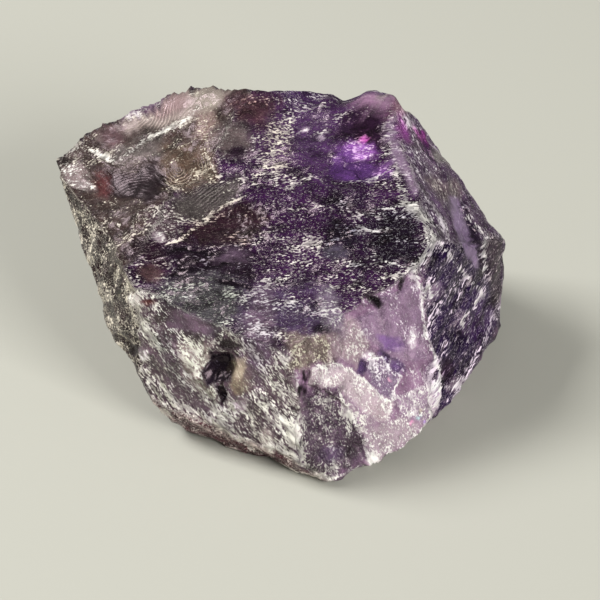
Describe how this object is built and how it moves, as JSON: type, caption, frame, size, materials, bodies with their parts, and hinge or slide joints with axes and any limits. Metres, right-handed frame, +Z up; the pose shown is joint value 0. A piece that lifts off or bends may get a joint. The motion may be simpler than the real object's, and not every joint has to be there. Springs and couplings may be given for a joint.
{
  "type": "rough amethyst",
  "caption": "Broken lump of rough amethyst with large fracture faces, shell-shaped scars, a stepped ledge and a flat underside.",
  "frame": {"origin": "centre of the stone's bounding box, on the flat underside that it stands on", "axes": "+X to the right across the longest extent, +Y to the back, +Z up; the front is the side with the pale ledge"},
  "size_m": [0.0457, 0.0364, 0.0249],
  "materials": {
    "amethyst": "clear violet quartz under a broken skin: matt, frosted and flecked white, smooth on the shell-shaped scars"
  },
  "bodies": {
    "root": {"amethyst": "amethyst"}
  },
  "joints": []
}
